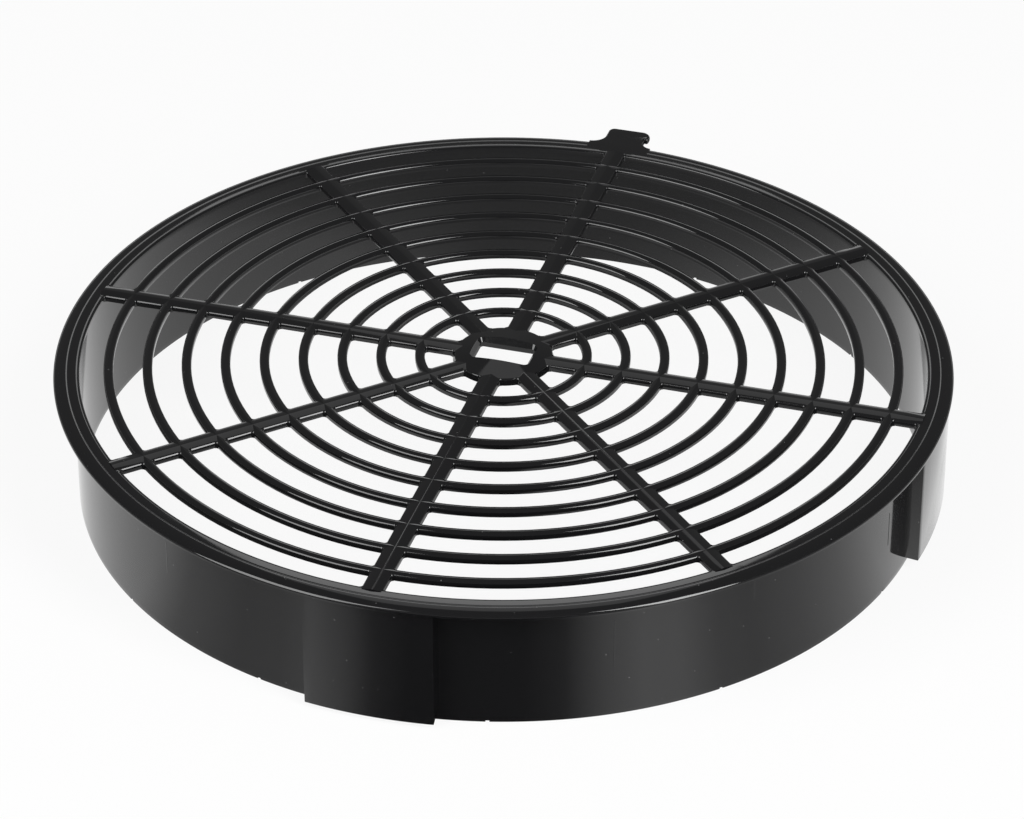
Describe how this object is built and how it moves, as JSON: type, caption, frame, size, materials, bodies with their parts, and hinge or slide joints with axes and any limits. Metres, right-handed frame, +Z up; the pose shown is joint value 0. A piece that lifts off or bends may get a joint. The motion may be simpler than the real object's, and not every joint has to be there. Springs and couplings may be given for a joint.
{
  "type": "evaporator fan cover",
  "caption": "Round moulded fan cover: rings and spokes close the top of a short skirt, with a crowned flange, pads on the skirt, a slotted hub and a flat tongue.",
  "frame": {"origin": "centre of the outline seen from above, tongue included, on the surface that the bottom edge of the skirt stands on; the axis of the rings and the skirt lies 4.2 mm towards -Y of it", "axes": "+Z up through the grille, out of the covered opening; +Y towards the tongue; the hub's slot is long along X"},
  "size_m": [0.2392, 0.2476, 0.0376],
  "materials": {
    "black_plastic": "glossy black as it left the mould"
  },
  "bodies": {
    "root": {"fan_cover": "black_plastic"}
  },
  "joints": []
}
